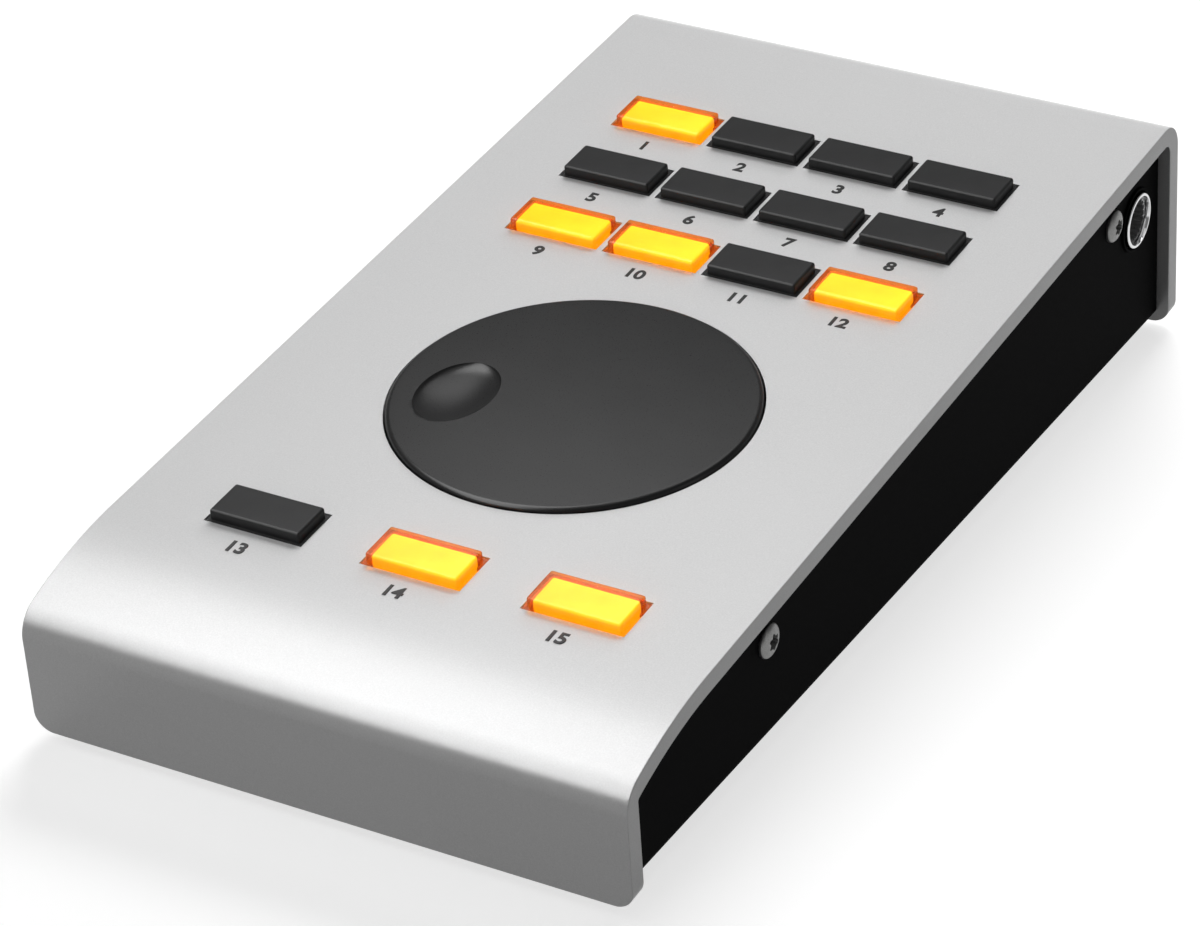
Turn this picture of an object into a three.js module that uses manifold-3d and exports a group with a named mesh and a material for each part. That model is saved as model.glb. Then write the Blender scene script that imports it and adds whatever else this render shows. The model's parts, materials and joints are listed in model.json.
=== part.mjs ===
// Desktop remote control for an audio interface: one bent aluminium sheet over a black folded tray,
// with a large flat dial, fifteen lit keys, a 6.35 mm jack on the right and a socket at the back.
// Millimetres. +X is to the user's right, +Y to the rear, +Z up. The origin is on the table, under
// the middle of the case.
//
// Most pieces are placed in the deck's frame, which is turned by the slope of the top plate:
// x across, y along the plate from the front wall's face, z square to the plate from its upper side.

import * as THREE from 'three';
import { mergeVertices } from 'three/addons/utils/BufferGeometryUtils.js';
import Module from 'manifold-3d';

const wasm = await Module();
wasm.setup();

// Cover: one bent sheet
const coverWidth = 96;
const coverLength = 183.7;
const coverSheet = 3.2;
const plateSlopeDegrees = 4.5;
const frontWallDrop = 23.2;
const rearWallDrop = 37.2;
const frontCurveRadius = 68;
const frontCurveRun = 23.8;
const frontFoldRadius = 4.8;
const frontFoldInnerRadius = 0.5;
const rearBendRadius = 5.2;
const wallCornerRadius = 3;

// Tray: black folded sheet that closes the sides and the floor
const traySheet = 1.5;
const trayInset = 1.9;
const trayRise = 1.4;
const trayGap = 0.3;
const trayBendRadius = 1.8;

// Rubber feet under the tray
const footRadius = 4.5;
const footHeight = 2.6;
const footChamfer = 0.4;
const footInset = 10;

// Keys: four columns in three rows behind the dial, three keys in front of it. Shares are of the
// cover's width for columns and of its length for rows.
const columnPitchShare = 0.178438;
const rowPitchShare = 0.09325;
const gridRowShare = 0.631736;
const frontRowShare = 0.165487;
const windowBridge = 0.93;
const windowDepth = 8.5;
const keyGap = 0.15;
const keyTravel = 1.2;
const flangeDrop = 0.1;
const capInset = 0.5;
const capRise = 1.6;
const capEdgeRadius = 0.4;
const capWall = 0.5;
const capTop = 0.6;
const skirtOverhang = 0.4;
const diffuserGap = 0.15;
const stemWidth = 8;
const stemDepth = 4.4;
const stemLength = 4;

// Switch banks: moulded strips with one pocket per key
const bankDepth = 11;
const bankEndGap = 1;
const pocketGap = 0.3;
const stopGap = 0.3;

// Circuit board, parallel to the plate
const boardDrop = 14.8;
const boardSheet = 1.6;
const boardFrontPlace = 16;
const boardRearGap = 1.5;
const seatGap = 0.3;

// Rails: channels under the plate that take the side screws and carry the board
const railWeb = 1.5;
const railTopFlange = 7;
const railBottomFlange = 6;
const railFrontOverhang = 6;

// Side screws: button heads with a six-lobed socket
const sideScrewDrop = 8.65;
const frontScrewShare = 0.237888;
const rearScrewSpacing = 8.7;
const sideHeadRadius = 2.6;
const sideHeadHeight = 1.2;
const sideHeadRim = 0.3;
const sideShankRadius = 1.5;
const sideShankLength = 7.5;
const socketRadius = 1.35;
const socketDepth = 0.95;
const socketLobes = 6;
const socketWaistShare = 0.72;
const screwHoleGap = 0.3;

// Board screws, driven up into the rails
const boardScrewInset = 3.2;
const boardScrewEnd = 14;
const boardHeadRadius = 2.2;
const boardHeadHeight = 1.5;
const boardShankRadius = 1.2;
const boardSlotWidth = 0.7;
const boardSlotDepth = 0.7;

// Dial and its encoder
const dialShare = 0.398476;
const dialHoleRadius = 27.9;
const dialGap = 0.3;
const dialRise = 1;
const dialDome = 0.3;
const dialEdgeRadius = 0.8;
const dialWeb = 3.2;
const dialRimWidth = 3;
const dialRimDepth = 0.8;
const dialHubRadius = 6;
const dimpleReach = 17.5;
const dimpleDegrees = 197.5;
const dimpleAcross = 11.9;
const dimpleAlong = 16.2;
const dimpleDepth = 1.6;
const shaftRadius = 3;
const shaftTopDrop = 0.7;
const shaftFitGap = 0.15;
const shaftRunGap = 0.3;
const encoderWidth = 14;
const encoderHeight = 6;
const bushRadius = 4.5;
const bushLength = 4;
const bushFloor = 1;

// Jack in the right side panel, for a 6.35 mm plug
const jackRearInset = 12.9;
const jackDrop = 12.4;
const jackBoreRadius = 3.25;
const jackBoreDepth = 24;
const jackSleeveRadius = 4.5;
const jackSleeveProud = 0.9;
const jackMouthChamfer = 0.25;
const jackRimChamfer = 0.2;
const jackWasherRadius = 5.3;
const jackWasherSheet = 0.4;
const jackHoleGap = 0.3;
const jackBodyWidth = 11.4;
const jackBodyLength = 26;

// Socket in the rear wall, under the board, for the lead to the computer
const usbWidth = 12;
const usbHeight = 11;
const usbLength = 16.5;
const usbShell = 0.5;
const usbCutGap = 0.3;
const usbFillGap = 0.1;
const usbMouthWidth = 8.5;
const usbMouthHeight = 7.8;
const usbMouthDepth = 9;
const usbMouthChamfer = 1.6;
const usbTongueWidth = 5.6;
const usbTongueHeight = 3.2;
const usbTongueLength = 7.4;

// How far a cutting solid runs past what it cuts
const overrun = 2;

// How many straight steps stand for each curve
const foldSteps = 6;
const curveSteps = 10;
const bendSteps = 7;
const cornerSteps = 5;
const capEdgeSteps = 2;
const dialSides = 96;
const dialEdgeSteps = 4;
const dialDomeSteps = 6;
const shaftSides = 24;
const screwSides = 20;
const lobeSteps = 30;
const jackSides = 32;
const footSides = 32;
const dimpleSides = 32;
const dimpleRings = 16;

// Places that follow from the sizes
const slope = THREE.MathUtils.degToRad(plateSlopeDegrees);
const halfWidth = coverWidth / 2;
const wallClearance = footHeight - trayRise;
const deckHeight = wallClearance + frontWallDrop * Math.cos(slope);
const trayHalfWidth = halfWidth - trayInset;
const trayInnerHalfWidth = trayHalfWidth - traySheet;
const railOuterX = trayInnerHalfWidth - seatGap;
const rearWallInner = coverLength - coverSheet;
const columnPitch = coverWidth * columnPitchShare;
const rowPitch = coverLength * rowPitchShare;
const gridRowPlace = coverLength * gridRowShare;
const frontRowPlace = coverLength * frontRowShare;
const dialPlace = coverLength * dialShare;
const jackPlace = coverLength - jackRearInset;
const frontScrewPlace = coverLength * frontScrewShare;
const rearScrewPlace = jackPlace - rearScrewSpacing;
const windowWidth = columnPitch - windowBridge;
const boardTop = -boardDrop;
const boardBottom = boardTop - boardSheet;
const bankBottom = boardTop + seatGap;
const skirtBottom = -coverSheet - skirtOverhang;
const bankTop = skirtBottom - keyTravel - stopGap;
const jackBodyRear = railOuterX - jackBodyLength;
const jackBodyFrontPlace = jackPlace - jackBodyWidth / 2;

// Finishes
const aluminium = new THREE.MeshStandardMaterial({ color: 0xcbcbcd, roughness: 0.5, metalness: 0.7 });
const blackSheet = new THREE.MeshStandardMaterial({ color: 0x0e0e0f, roughness: 0.6, metalness: 0.2 });
const amberPlastic = new THREE.MeshStandardMaterial({ color: 0xd06a2c, roughness: 0.2, metalness: 0 });
const smokedPlastic = new THREE.MeshStandardMaterial({ color: 0x232324, roughness: 0.35, metalness: 0 });
const yellowPlastic = new THREE.MeshStandardMaterial({ color: 0xffdd3c, roughness: 0.5, metalness: 0 });
const greyPlastic = new THREE.MeshStandardMaterial({ color: 0x4a4a4c, roughness: 0.6, metalness: 0 });
const blackPlastic = new THREE.MeshStandardMaterial({ color: 0x141414, roughness: 0.55, metalness: 0 });
const dialBlack = new THREE.MeshStandardMaterial({ color: 0x3b3b3c, roughness: 0.5, metalness: 0.3 });
const screwSteel = new THREE.MeshStandardMaterial({ color: 0x8a8a88, roughness: 0.4, metalness: 0.9 });
const chrome = new THREE.MeshStandardMaterial({ color: 0xdcdcdc, roughness: 0.15, metalness: 1 });
const boardGreen = new THREE.MeshStandardMaterial({ color: 0x1e5a38, roughness: 0.6, metalness: 0 });
const rubber = new THREE.MeshStandardMaterial({ color: 0x1a1a1a, roughness: 0.9, metalness: 0 });

// Turn a closed geometry into a solid that can be cut and joined, and back

function solidOf(geometry) {
  const loose = geometry.index ? geometry.toNonIndexed() : geometry;
  const bare = new THREE.BufferGeometry();
  bare.setAttribute('position', loose.getAttribute('position'));
  const merged = mergeVertices(bare);
  return new wasm.Manifold(new wasm.Mesh({
    numProp: 3,
    vertProperties: merged.getAttribute('position').array,
    triVerts: new Uint32Array(merged.index.array),
  }));
}

function geometryOf(solid) {
  const mesh = solid.getMesh();
  const shared = new THREE.BufferGeometry();
  shared.setAttribute('position', new THREE.BufferAttribute(mesh.vertProperties, 3));
  shared.setIndex(new THREE.BufferAttribute(mesh.triVerts, 1));
  const faceted = shared.toNonIndexed();
  faceted.computeVertexNormals();
  return faceted;
}

// Basic forms. An outline is a list of [across, up] points.

function arc(centreX, centreY, radius, fromDegrees, toDegrees, steps) {
  return Array.from({ length: steps + 1 }, (_, i) => {
    const angle = THREE.MathUtils.degToRad(fromDegrees + (toDegrees - fromDegrees) * i / steps);
    return [centreX + radius * Math.cos(angle), centreY + radius * Math.sin(angle)];
  });
}

function extruded(outline, depth, bevel = {}) {
  const shape = new THREE.Shape(outline.map(([x, y]) => new THREE.Vector2(x, y)));
  return new THREE.ExtrudeGeometry(shape, { depth, bevelEnabled: false, ...bevel });
}

function prismAlongX(outline, fromX, toX) {
  const geometry = extruded(outline, toX - fromX);
  const turn = new THREE.Matrix4().makeBasis(
    new THREE.Vector3(0, 1, 0),
    new THREE.Vector3(0, 0, 1),
    new THREE.Vector3(1, 0, 0),
  );
  return geometry.applyMatrix4(turn).translate(fromX, 0, 0);
}

function prismAlongY(outline, fromY, toY) {
  return extruded(outline, toY - fromY).rotateX(Math.PI / 2).translate(0, toY, 0);
}

function prismAlongZ(outline, fromZ, toZ) {
  return extruded(outline, toZ - fromZ).translate(0, 0, fromZ);
}

function rectangle(fromX, toX, fromY, toY) {
  return [[fromX, fromY], [toX, fromY], [toX, toY], [fromX, toY]];
}

function block(fromX, toX, fromY, toY, fromZ, toZ) {
  return new THREE.BoxGeometry(toX - fromX, toY - fromY, toZ - fromZ)
    .translate((fromX + toX) / 2, (fromY + toY) / 2, (fromZ + toZ) / 2);
}

// A turned piece about Z; its profile is a list of [radius, height] points, from the bottom up
function turned(profile, sides) {
  const points = profile.map(([radius, height]) => new THREE.Vector2(radius, height));
  return new THREE.LatheGeometry(points, sides).rotateX(Math.PI / 2);
}

function rod(radius, fromZ, toZ, sides) {
  return turned([[0, fromZ], [radius, fromZ], [radius, toZ], [0, toZ]], sides);
}

function rodAlongX(radius, fromX, toX, y, z, sides) {
  return rod(radius, fromX, toX, sides).rotateY(Math.PI / 2).translate(0, y, z);
}

// The bent sheet's line at a depth under its outer surface: up the front fold, along the curve and
// the flat plate, and round the rear bend. Its points are in the deck's frame.
function sheetLine(depth, foldRadius) {
  const foldX = depth + foldRadius;
  const reach = frontCurveRadius - depth - foldRadius;
  const across = frontCurveRun - foldX;
  const foldZ = Math.sqrt(reach ** 2 - across ** 2) - frontCurveRadius;
  const meetDegrees = THREE.MathUtils.radToDeg(Math.atan2(foldZ + frontCurveRadius, -across));
  const rearCentre = coverLength - rearBendRadius;
  return [
    ...arc(foldX, foldZ, foldRadius, 180, meetDegrees, foldSteps),
    ...arc(frontCurveRun, -frontCurveRadius, frontCurveRadius - depth, meetDegrees, 90, curveSteps).slice(1),
    ...arc(rearCentre, -rearBendRadius, rearBendRadius - depth, 90, 0, bendSteps),
  ];
}

// Where each key stands in the deck's frame, from the rear left to the front right
function keyPlaces() {
  const places = [];
  for (const row of [2, 1, 0]) {
    for (const column of [-1.5, -0.5, 0.5, 1.5]) {
      places.push({ x: column * columnPitch, y: gridRowPlace + row * rowPitch });
    }
  }
  for (const column of [-1.5, 0, 1.5]) {
    places.push({ x: column * columnPitch, y: frontRowPlace });
  }
  return places;
}

// Cover

function coverOutline() {
  return [
    [0, -frontWallDrop],
    ...sheetLine(0, frontFoldRadius),
    [coverLength, -rearWallDrop],
    [rearWallInner, -rearWallDrop],
    ...sheetLine(coverSheet, frontFoldInnerRadius).reverse(),
    [coverSheet, -frontWallDrop],
  ];
}

// What is cut away to round a lower corner of a wall, with the corner at x, z; side is 1 or -1
function cornerCut(side, z, fromY, toY) {
  const round = arc(-wallCornerRadius, wallCornerRadius, wallCornerRadius, -90, 0, cornerSteps);
  const outline = [...round, [overrun, wallCornerRadius], [overrun, -overrun], [-wallCornerRadius, -overrun]];
  const placed = outline.map(([x, up]) => [side * (halfWidth + x), z + up]);
  return solidOf(prismAlongY(placed, fromY - overrun, toY + overrun));
}

function makeCover() {
  let cover = solidOf(prismAlongX(coverOutline(), -halfWidth, halfWidth));
  for (const side of [1, -1]) {
    cover = cover.subtract(cornerCut(side, -frontWallDrop, 0, coverSheet));
    cover = cover.subtract(cornerCut(side, -rearWallDrop, rearWallInner, coverLength));
  }
  for (const { x, y } of keyPlaces()) {
    const window = block(
      x - windowWidth / 2, x + windowWidth / 2,
      y - windowDepth / 2, y + windowDepth / 2,
      -coverSheet - overrun, overrun,
    );
    cover = cover.subtract(solidOf(window));
  }
  const dialHole = rod(dialHoleRadius, -coverSheet - overrun, overrun, dialSides).translate(0, dialPlace, 0);
  const usbCut = block(
    -usbWidth / 2 - usbCutGap, usbWidth / 2 + usbCutGap,
    rearWallInner - overrun, coverLength + overrun,
    boardBottom - seatGap - usbHeight - usbCutGap, boardBottom - seatGap + usbCutGap,
  );
  return geometryOf(cover.subtract(solidOf(dialHole)).subtract(solidOf(usbCut)));
}

// Tray

// A point of the deck's frame as [y, z] in the table's frame
function onTable(y, z) {
  return [
    y * Math.cos(slope) - z * Math.sin(slope),
    deckHeight + y * Math.sin(slope) + z * Math.cos(slope),
  ];
}

// The table-frame Y at which a line square to the plate, y from the front, meets the tray's underside
function trayEndY(y) {
  const drop = (footHeight - deckHeight - y * Math.sin(slope)) / Math.cos(slope);
  return onTable(y, drop)[0];
}

const trayFrontPlace = coverSheet + trayGap;
const trayRearPlace = rearWallInner - trayGap;
const trayFrontY = trayEndY(trayFrontPlace);
const trayRearY = trayEndY(trayRearPlace);

function traySection() {
  const top = deckHeight + coverLength;
  const bendX = trayHalfWidth - trayBendRadius;
  const bendZ = footHeight + trayBendRadius;
  const half = (radius, x) => [...arc(bendX, bendZ, radius, -90, 0, cornerSteps), [x, top]];
  const mirrored = (points) => points.map(([x, z]) => [-x, z]).reverse();
  const outer = half(trayBendRadius, trayHalfWidth);
  const inner = half(trayBendRadius - traySheet, trayInnerHalfWidth);
  return [...mirrored(outer), ...outer, ...inner.reverse(), ...mirrored(inner)];
}

function makeTray() {
  const profile = [
    [trayFrontY, footHeight],
    ...sheetLine(coverSheet + trayGap, frontFoldInnerRadius).map(([y, z]) => onTable(y, z)),
    [trayRearY, footHeight],
  ];
  const folded = solidOf(prismAlongY(traySection(), trayFrontY - coverSheet, trayRearY + coverSheet));
  let tray = folded.intersect(solidOf(prismAlongX(profile, -trayHalfWidth, trayHalfWidth)));
  for (const place of [frontScrewPlace, rearScrewPlace]) {
    const [y, z] = onTable(place, -sideScrewDrop);
    const reach = trayHalfWidth + overrun;
    tray = tray.subtract(solidOf(rodAlongX(sideShankRadius + screwHoleGap, -reach, reach, y, z, screwSides)));
  }
  const [jackY, jackZ] = onTable(jackPlace, -jackDrop);
  const jackHole = rodAlongX(
    jackSleeveRadius + jackHoleGap,
    trayInnerHalfWidth - overrun, trayHalfWidth + overrun,
    jackY, jackZ, jackSides,
  );
  return geometryOf(tray.subtract(solidOf(jackHole)));
}

// Keys

function roundedRectangle(width, depth, radius) {
  const x = width / 2 - radius;
  const y = depth / 2 - radius;
  return [
    ...arc(x, y, radius, 0, 90, capEdgeSteps),
    ...arc(-x, y, radius, 90, 180, capEdgeSteps),
    ...arc(-x, -y, radius, 180, 270, capEdgeSteps),
    ...arc(x, -y, radius, 270, 360, capEdgeSteps),
  ];
}

const flangeWidth = windowWidth - 2 * keyGap;
const flangeDepth = windowDepth - 2 * keyGap;
const capWidth = flangeWidth - 2 * capInset;
const capDepth = flangeDepth - 2 * capInset;
const cavityWidth = capWidth - 2 * capWall;
const cavityDepth = capDepth - 2 * capWall;

function makeKeyCap() {
  const outline = roundedRectangle(capWidth - 2 * capEdgeRadius, capDepth - 2 * capEdgeRadius, capEdgeRadius);
  const raised = extruded(outline, capRise + coverSheet - 2 * capEdgeRadius, {
    bevelEnabled: true,
    bevelThickness: capEdgeRadius,
    bevelSize: capEdgeRadius,
    bevelSegments: capEdgeSteps,
  }).translate(0, 0, capEdgeRadius - coverSheet);
  const skirt = block(
    -flangeWidth / 2, flangeWidth / 2, -flangeDepth / 2, flangeDepth / 2, skirtBottom, -flangeDrop,
  );
  const cavity = block(
    -cavityWidth / 2, cavityWidth / 2, -cavityDepth / 2, cavityDepth / 2,
    skirtBottom - overrun, capRise - capTop,
  );
  return geometryOf(solidOf(raised).add(solidOf(skirt)).subtract(solidOf(cavity)));
}

function makeKeyDiffuser() {
  const halfX = cavityWidth / 2 - diffuserGap;
  const halfY = cavityDepth / 2 - diffuserGap;
  const light = block(-halfX, halfX, -halfY, halfY, skirtBottom, capRise - capTop - diffuserGap);
  const stem = block(
    -stemWidth / 2, stemWidth / 2, -stemDepth / 2, stemDepth / 2,
    bankTop - stemLength, skirtBottom + capWall,
  );
  return geometryOf(solidOf(light).add(solidOf(stem)));
}

// One moulded strip under a row of keys, with a blind pocket for each key's stem
function makeSwitchBank(columns) {
  const halfX = 2 * columnPitch - bankEndGap / 2;
  let bank = solidOf(block(-halfX, halfX, -bankDepth / 2, bankDepth / 2, bankBottom, bankTop));
  const pocketX = stemWidth / 2 + pocketGap;
  const pocketY = stemDepth / 2 + pocketGap;
  const pocketFloor = bankTop - stemLength - keyTravel - stopGap;
  for (const column of columns) {
    const centre = column * columnPitch;
    const pocket = block(centre - pocketX, centre + pocketX, -pocketY, pocketY, pocketFloor, bankTop + overrun);
    bank = bank.subtract(solidOf(pocket));
  }
  return geometryOf(bank);
}

// Board and rails

const boardScrewX = railOuterX - boardScrewInset;
const railFrontPlace = frontScrewPlace - railFrontOverhang;
const railRearPlace = jackBodyFrontPlace - seatGap;
const boardScrewPlaces = [railFrontPlace + boardScrewEnd, railRearPlace - boardScrewEnd];

function makeBoard() {
  const rear = rearWallInner - boardRearGap;
  const notchX = jackBodyRear - seatGap;
  const notchY = railRearPlace;
  const outline = [
    [-railOuterX, boardFrontPlace],
    [railOuterX, boardFrontPlace],
    [railOuterX, notchY],
    [notchX, notchY],
    [notchX, rear],
    [-railOuterX, rear],
  ];
  let board = solidOf(prismAlongZ(outline, boardBottom, boardTop));
  for (const side of [1, -1]) {
    for (const place of boardScrewPlaces) {
      const hole = rod(boardShankRadius + screwHoleGap, boardBottom - overrun, boardTop + overrun, screwSides);
      board = board.subtract(solidOf(hole.translate(side * boardScrewX, place, 0)));
    }
  }
  return geometryOf(board);
}

// side is 1 for the right rail and -1 for the left one
function makeRail(side) {
  const top = -coverSheet - seatGap;
  const bottom = boardTop + seatGap;
  const webInner = railOuterX - railWeb;
  const section = [
    [railOuterX, bottom],
    [railOuterX, top],
    [railOuterX - railTopFlange, top],
    [railOuterX - railTopFlange, top - railWeb],
    [webInner, top - railWeb],
    [webInner, bottom + railWeb],
    [railOuterX - railBottomFlange, bottom + railWeb],
    [railOuterX - railBottomFlange, bottom],
  ].map(([x, z]) => [side * x, z]);
  let rail = solidOf(prismAlongY(section, railFrontPlace, railRearPlace));
  for (const place of [frontScrewPlace, rearScrewPlace]) {
    const hole = rod(sideShankRadius + screwHoleGap, webInner - overrun, railOuterX + overrun, screwSides);
    hole.rotateY(side * Math.PI / 2).translate(0, place, -sideScrewDrop);
    rail = rail.subtract(solidOf(hole));
  }
  for (const place of boardScrewPlaces) {
    const hole = rod(boardShankRadius + screwHoleGap, bottom - overrun, bottom + railWeb + overrun, screwSides);
    rail = rail.subtract(solidOf(hole.translate(side * boardScrewX, place, 0)));
  }
  return geometryOf(rail);
}

// Screws, made standing on the origin with the head up

function lobedOutline(radius) {
  const swing = (1 - socketWaistShare) / 2;
  return Array.from({ length: lobeSteps }, (_, i) => {
    const angle = 2 * Math.PI * i / lobeSteps;
    const reach = radius * (1 - swing + swing * Math.cos(socketLobes * angle));
    return [reach * Math.cos(angle), reach * Math.sin(angle)];
  });
}

function makeSideScrew() {
  const dome = sideHeadHeight - sideHeadRim;
  const crown = arc(0, 0, 1, 0, 90, cornerSteps).map(([across, up]) => [
    sideHeadRadius * across,
    sideHeadRim + dome * up,
  ]);
  crown[crown.length - 1][0] = 0;
  const profile = [
    [0, -sideShankLength],
    [sideShankRadius, -sideShankLength],
    [sideShankRadius, 0],
    [sideHeadRadius, 0],
    ...crown,
  ];
  const socket = prismAlongZ(lobedOutline(socketRadius), sideHeadHeight - socketDepth, sideHeadHeight + overrun);
  return geometryOf(solidOf(turned(profile, screwSides)).subtract(solidOf(socket)));
}

function makeBoardScrew() {
  const shankLength = seatGap + boardSheet + seatGap + railWeb;
  const profile = [
    [0, -shankLength],
    [boardShankRadius, -shankLength],
    [boardShankRadius, 0],
    [boardHeadRadius, 0],
    [boardHeadRadius, boardHeadHeight],
    [0, boardHeadHeight],
  ];
  const slot = block(
    -boardHeadRadius - overrun, boardHeadRadius + overrun,
    -boardSlotWidth / 2, boardSlotWidth / 2,
    boardHeadHeight - boardSlotDepth, boardHeadHeight + overrun,
  );
  return geometryOf(solidOf(turned(profile, screwSides)).subtract(solidOf(slot)));
}

// Dial and encoder, made about the dial's own axis

const dialRadius = dialHoleRadius - dialGap;
const hubBottom = boardTop + seatGap + encoderHeight + bushLength + stopGap;

function makeDialKnob() {
  const webBottom = dialRise - dialWeb;
  const rimBottom = webBottom - dialRimDepth;
  const boreTop = shaftFitGap - shaftTopDrop;
  const boreRadius = shaftRadius + shaftFitGap;
  const faceRadius = dialRadius - dialEdgeRadius;
  const dome = Array.from({ length: dialDomeSteps }, (_, i) => {
    const share = 1 - (i + 1) / dialDomeSteps;
    return [faceRadius * share, dialRise - dialDome * share ** 2];
  });
  const profile = [
    [0, boreTop],
    [boreRadius, boreTop],
    [boreRadius, hubBottom],
    [dialHubRadius, hubBottom],
    [dialHubRadius, webBottom],
    [dialRadius - dialRimWidth, webBottom],
    [dialRadius - dialRimWidth, rimBottom],
    [dialRadius, rimBottom],
    ...arc(faceRadius, dialRise - dialDome - dialEdgeRadius, dialEdgeRadius, 0, 90, dialEdgeSteps),
    ...dome,
  ];
  const dimple = new THREE.SphereGeometry(1, dimpleSides, dimpleRings)
    .scale(dimpleAcross / 2, dimpleAlong / 2, dimpleDepth)
    .translate(
      dimpleReach * Math.cos(THREE.MathUtils.degToRad(dimpleDegrees)),
      dimpleReach * Math.sin(THREE.MathUtils.degToRad(dimpleDegrees)),
      dialRise,
    );
  return geometryOf(solidOf(turned(profile, dialSides)).subtract(solidOf(dimple)));
}

function makeDialShaft() {
  return rod(shaftRadius, boardTop + seatGap + bushFloor + seatGap, -shaftTopDrop, shaftSides);
}

function makeEncoder() {
  const bottom = boardTop + seatGap;
  const half = encoderWidth / 2;
  const body = block(-half, half, -half, half, bottom, bottom + encoderHeight);
  const bushTop = bottom + encoderHeight + bushLength;
  const bush = rod(bushRadius, bottom + bushFloor, bushTop, shaftSides);
  const bore = rod(shaftRadius + shaftRunGap, bottom + bushFloor, bushTop + overrun, shaftSides);
  return geometryOf(solidOf(body).add(solidOf(bush)).subtract(solidOf(bore)));
}

// Jack, made about the X axis

function makeJackSleeve() {
  const inner = railOuterX;
  const outer = trayHalfWidth + jackSleeveProud;
  const profile = [
    [jackBoreRadius, inner],
    [jackSleeveRadius, inner],
    [jackSleeveRadius, outer - jackRimChamfer],
    [jackSleeveRadius - jackRimChamfer, outer],
    [jackBoreRadius + jackMouthChamfer, outer],
    [jackBoreRadius, outer - jackMouthChamfer],
    [jackBoreRadius, inner],
  ];
  return turned(profile, jackSides).rotateY(Math.PI / 2);
}

function makeJackWasher() {
  const inner = jackSleeveRadius + jackHoleGap;
  const fromX = trayHalfWidth;
  const toX = trayHalfWidth + jackWasherSheet;
  const profile = [[inner, fromX], [jackWasherRadius, fromX], [jackWasherRadius, toX], [inner, toX], [inner, fromX]];
  return turned(profile, jackSides).rotateY(Math.PI / 2);
}

function makeJackBody() {
  const half = jackBodyWidth / 2;
  const body = block(jackBodyRear, railOuterX, -half, half, -half, half);
  const bore = rodAlongX(jackBoreRadius, trayHalfWidth - jackBoreDepth, railOuterX + overrun, 0, 0, jackSides);
  return geometryOf(solidOf(body).subtract(solidOf(bore)));
}

// Socket in the rear wall, with its mouth flush with the wall

const usbTop = boardBottom - seatGap;
const usbMiddle = usbTop - usbHeight / 2;
const usbRear = coverLength;
const usbFront = coverLength - usbLength;

function makeUsbShell() {
  const half = usbWidth / 2;
  const shell = block(-half, half, usbFront, usbRear, usbTop - usbHeight, usbTop);
  const hollow = block(
    -half + usbShell, half - usbShell,
    usbFront + usbShell, usbRear + overrun,
    usbTop - usbHeight + usbShell, usbTop - usbShell,
  );
  return geometryOf(solidOf(shell).subtract(solidOf(hollow)));
}

function makeUsbInsulator() {
  const inset = usbShell + usbFillGap;
  const halfX = usbWidth / 2 - inset;
  const halfZ = usbHeight / 2 - inset;
  const face = usbRear - usbFillGap;
  const filling = block(-halfX, halfX, usbFront + inset, face, usbMiddle - halfZ, usbMiddle + halfZ);
  const mouthX = usbMouthWidth / 2;
  const mouthZ = usbMouthHeight / 2;
  const mouth = prismAlongY([
    [-mouthX, usbMiddle - mouthZ],
    [mouthX, usbMiddle - mouthZ],
    [mouthX, usbMiddle + mouthZ - usbMouthChamfer],
    [mouthX - usbMouthChamfer, usbMiddle + mouthZ],
    [-mouthX + usbMouthChamfer, usbMiddle + mouthZ],
    [-mouthX, usbMiddle + mouthZ - usbMouthChamfer],
  ], face - usbMouthDepth, face + overrun);
  const tongue = block(
    -usbTongueWidth / 2, usbTongueWidth / 2,
    face - usbMouthDepth - usbShell, face - usbMouthDepth + usbTongueLength,
    usbMiddle - usbTongueHeight / 2, usbMiddle + usbTongueHeight / 2,
  );
  return geometryOf(solidOf(filling).subtract(solidOf(mouth)).add(solidOf(tongue)));
}

// Foot, made standing on the origin

function makeFoot() {
  return turned([
    [0, 0],
    [footRadius - footChamfer, 0],
    [footRadius, footChamfer],
    [footRadius, footHeight],
    [0, footHeight],
  ], footSides);
}

// Assembly

const remote = new THREE.Group();
const deck = new THREE.Group();
deck.rotation.x = slope;
deck.position.z = deckHeight;
remote.add(deck);

function addPiece(parent, name, geometry, material, x = 0, y = 0, z = 0) {
  const mesh = new THREE.Mesh(geometry, material);
  mesh.name = name;
  mesh.position.set(x, y, z);
  parent.add(mesh);
  return mesh;
}

addPiece(deck, 'top_cover', makeCover(), aluminium);
addPiece(remote, 'base_tray', makeTray(), blackSheet);
addPiece(deck, 'main_board', makeBoard(), boardGreen);

const sides = { right: 1, left: -1 };
const sideScrew = makeSideScrew();
const boardScrew = makeBoardScrew().rotateX(Math.PI);
const foot = makeFoot();
for (const [sideName, side] of Object.entries(sides)) {
  addPiece(deck, `side_rail_${sideName}`, makeRail(side), aluminium);
  const ends = {
    front: { screw: frontScrewPlace, boardScrew: boardScrewPlaces[0], foot: trayFrontY + footInset },
    rear: { screw: rearScrewPlace, boardScrew: boardScrewPlaces[1], foot: trayRearY - footInset },
  };
  for (const [endName, end] of Object.entries(ends)) {
    const screw = addPiece(
      deck, `side_screw_${endName}_${sideName}`, sideScrew, screwSteel,
      side * trayHalfWidth, end.screw, -sideScrewDrop,
    );
    screw.rotation.y = side * Math.PI / 2;
    addPiece(
      deck, `board_screw_${endName}_${sideName}`, boardScrew, screwSteel,
      side * boardScrewX, end.boardScrew, boardBottom - seatGap,
    );
    addPiece(
      remote, `rubber_foot_${endName}_${sideName}`, foot, rubber,
      side * (trayHalfWidth - footInset), end.foot, 0,
    );
  }
}

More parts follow.
